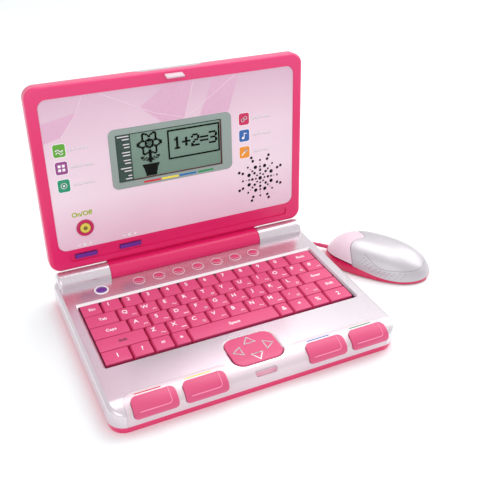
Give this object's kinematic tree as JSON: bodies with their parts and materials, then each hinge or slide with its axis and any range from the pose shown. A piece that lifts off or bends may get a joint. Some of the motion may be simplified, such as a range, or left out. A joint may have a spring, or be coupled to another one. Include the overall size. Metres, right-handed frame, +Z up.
{
  "type": "toy laptop computer",
  "caption": "Toy laptop computer with a hinged lid holding a small display and speaker, pressable keys, large front buttons, and a corded ball mouse.",
  "frame": {"origin": "centre of the laptop base's footprint, on the table; the mouse and its cord lie beside and behind it", "axes": "+X to the user's right along the hinge, +Y from the user towards the hinge, +Z up"},
  "size_m": [0.3768, 0.2591, 0.2146],
  "materials": {
    "case_pink": "hot pink moulded plastic, satin gloss",
    "silver_paint": "pearl silver painted plastic, gloss",
    "trim_pearl": "pale pink pearl painted plastic, gloss",
    "key_pink": "pink moulded plastic with printed legends",
    "button_pink": "pink moulded plastic, gloss",
    "purple": "purple moulded plastic, gloss",
    "white_plastic": "white moulded plastic",
    "panel_print": "printed pale pink panel",
    "bezel_grey": "printed grey-green border",
    "clear_lens": "clear window",
    "lcd": "liquid crystal display",
    "power_ring": "crimson moulded plastic",
    "power_yellow": "yellow moulded plastic",
    "mouse_crimson": "crimson moulded plastic",
    "mouse_pale": "pale pink moulded plastic",
    "cord_pink": "pink flexible vinyl",
    "rubber_grey": "dark grey rubber",
    "silicone": "translucent silicone rubber",
    "steel": "zinc-plated steel",
    "board_green": "green solder resist",
    "battery": "steel cell with a printed sleeve",
    "speaker_black": "steel basket and black paper cone",
    "cable_grey": "flat flexible cable"
  },
  "bodies": {
    "base": {"upper_case": "silver_paint", "front_trim": "trim_pearl", "lower_case": "case_pink", "latch_catch": "button_pink", "battery_door": "case_pink", "batteries": "battery", "battery_contacts": "steel", "main_board": "board_green", "button_board": "board_green", "key_dome_mat": "silicone", "base_screws": "steel", "base_feet": "rubber_grey", "round_button_collar": "white_plastic", "mouse_socket": "rubber_grey", "mouse_plug": "cord_pink", "cord_lead": "cord_pink", "cord_coil": "cord_pink", "mouse_cord": "cord_pink"},
    "lid": {"lid_front_frame": "case_pink", "lid_back_cover": "silver_paint", "face_panel": "panel_print", "display_frame": "bezel_grey", "display_lens": "clear_lens", "display_module": "lcd", "display_board": "board_green", "ribbon_cable": "cable_grey", "speaker": "speaker_black", "power_button_ring": "power_ring", "latch_hook": "trim_pearl", "hinge_pins": "steel", "barrel_plugs": "case_pink", "lid_screws": "steel"},
    "mouse": {"mouse_lower_shell": "mouse_crimson", "mouse_upper_shell": "silver_paint", "mouse_board": "board_green", "mouse_ball_ring": "mouse_crimson", "mouse_rollers": "white_plastic", "mouse_feet": "white_plastic", "mouse_strain_relief": "cord_pink"},
    "enter_key_body": {"enter_key": "key_pink"},
    "player_1_key_body": {"player_1_key": "key_pink"},
    "player_2_key_body": {"player_2_key": "key_pink"},
    "space_bar_body": {"space_bar": "key_pink"},
    "number_row_keys_body": {"number_row_keys": "key_pink"},
    "top_letter_keys_body": {"top_letter_keys": "key_pink"},
    "home_letter_keys_body": {"home_letter_keys": "key_pink"},
    "low_letter_keys_body": {"low_letter_keys": "key_pink"},
    "function_keys_body": {"function_keys": "key_pink"},
    "direction_pad_body": {"direction_pad": "button_pink"},
    "mode_buttons_body": {"mode_buttons": "button_pink"},
    "round_button_body": {"round_button": "purple"},
    "front_button_1_body": {"front_button_1": "button_pink"},
    "front_button_2_body": {"front_button_2": "button_pink"},
    "front_button_3_body": {"front_button_3": "button_pink"},
    "front_button_4_body": {"front_button_4": "button_pink"},
    "power_button_body": {"power_button": "power_yellow"},
    "contrast_rocker_body": {"contrast_rocker": "purple"},
    "volume_rocker_body": {"volume_rocker": "purple"},
    "mouse_button_body": {"mouse_button": "mouse_pale"},
    "mouse_ball_body": {"mouse_ball": "rubber_grey"}
  },
  "joints": [
    {"name": "lid_hinge", "type": "hinge", "parent": "base", "child": "lid", "pos_m": [0, 0.086, 0.0263], "axis": [1, 0, 0], "range_deg": [-20, 95]},
    {"name": "number_row_keys_press", "type": "slide", "parent": "base", "child": "number_row_keys_body", "axis": [0, 0, -1], "range_m": [0, 0.0012], "stiffness_N_per_m": 900},
    {"name": "top_letter_keys_press", "type": "slide", "parent": "base", "child": "top_letter_keys_body", "axis": [0, 0, -1], "range_m": [0, 0.0012], "stiffness_N_per_m": 900},
    {"name": "home_letter_keys_press", "type": "slide", "parent": "base", "child": "home_letter_keys_body", "axis": [0, 0, -1], "range_m": [0, 0.0012], "stiffness_N_per_m": 900},
    {"name": "low_letter_keys_press", "type": "slide", "parent": "base", "child": "low_letter_keys_body", "axis": [0, 0, -1], "range_m": [0, 0.0012], "stiffness_N_per_m": 900},
    {"name": "function_keys_press", "type": "slide", "parent": "base", "child": "function_keys_body", "axis": [0, 0, -1], "range_m": [0, 0.0012], "stiffness_N_per_m": 600},
    {"name": "space_bar_press", "type": "slide", "parent": "base", "child": "space_bar_body", "axis": [0, 0, -1], "range_m": [0, 0.0012], "stiffness_N_per_m": 350},
    {"name": "enter_key_press", "type": "slide", "parent": "base", "child": "enter_key_body", "axis": [0, 0, -1], "range_m": [0, 0.0012], "stiffness_N_per_m": 250},
    {"name": "player_1_key_press", "type": "slide", "parent": "base", "child": "player_1_key_body", "axis": [0, 0, -1], "range_m": [0, 0.0012], "stiffness_N_per_m": 200},
    {"name": "player_2_key_press", "type": "slide", "parent": "base", "child": "player_2_key_body", "axis": [0, 0, -1], "range_m": [0, 0.0012], "stiffness_N_per_m": 200},
    {"name": "mode_buttons_press", "type": "slide", "parent": "base", "child": "mode_buttons_body", "axis": [0, 0, -1], "range_m": [0, 0.0008], "stiffness_N_per_m": 400},
    {"name": "round_button_press", "type": "slide", "parent": "base", "child": "round_button_body", "axis": [0, 0, -1], "range_m": [0, 0.0008], "stiffness_N_per_m": 200},
    {"name": "direction_pad_press", "type": "slide", "parent": "base", "child": "direction_pad_body", "axis": [0, 0, -1], "range_m": [0, 0.0009], "stiffness_N_per_m": 300},
    {"name": "front_button_1_tilt", "type": "hinge", "parent": "base", "child": "front_button_1_body", "pos_m": [-0.0975, -0.0882, 0.019], "axis": [1, 0, 0], "range_deg": [0, 2.5], "stiffness_Nm_per_rad": 0.25},
    {"name": "front_button_2_tilt", "type": "hinge", "parent": "base", "child": "front_button_2_body", "pos_m": [-0.054, -0.0882, 0.019], "axis": [1, 0, 0], "range_deg": [0, 2.5], "stiffness_Nm_per_rad": 0.25},
    {"name": "front_button_3_tilt", "type": "hinge", "parent": "base", "child": "front_button_3_body", "pos_m": [0.0595, -0.0882, 0.019], "axis": [1, 0, 0], "range_deg": [0, 2.5], "stiffness_Nm_per_rad": 0.25},
    {"name": "front_button_4_tilt", "type": "hinge", "parent": "base", "child": "front_button_4_body", "pos_m": [0.103, -0.0882, 0.019], "axis": [1, 0, 0], "range_deg": [0, 2.5], "stiffness_Nm_per_rad": 0.25},
    {"name": "power_button_press", "type": "slide", "parent": "lid", "child": "power_button_body", "axis": [0, 0.9957, -0.0931], "range_m": [0, 0.0008], "stiffness_N_per_m": 250},
    {"name": "contrast_rocker_tilt", "type": "hinge", "parent": "lid", "child": "contrast_rocker_body", "pos_m": [-0.0997, 0.09281, 0.04932], "axis": [0, 0.0931, 0.9957], "range_deg": [-3, 3], "stiffness_Nm_per_rad": 0.05},
    {"name": "volume_rocker_tilt", "type": "hinge", "parent": "lid", "child": "volume_rocker_body", "pos_m": [-0.0554, 0.09281, 0.04932], "axis": [0, 0.0931, 0.9957], "range_deg": [-3, 3], "stiffness_Nm_per_rad": 0.05},
    {"name": "mouse_slide", "type": "slide", "parent": "base", "child": "mouse", "axis": [-0.6494, 0.7604, 0], "range_m": [-0.02, 0.008], "deforming": ["mouse_cord"]},
    {"name": "mouse_button_click", "type": "hinge", "parent": "mouse", "child": "mouse_button_body", "pos_m": [0.18821, 0.03213, 0.015], "axis": [-0.7604, -0.6494, 0], "range_deg": [0, 1.2], "stiffness_Nm_per_rad": 0.6},
    {"name": "mouse_ball_roll", "type": "hinge", "parent": "mouse", "child": "mouse_ball_body", "pos_m": [0.18821, 0.03213, 0.01], "axis": [-0.7604, -0.6494, 0], "continuous": true}
  ]
}
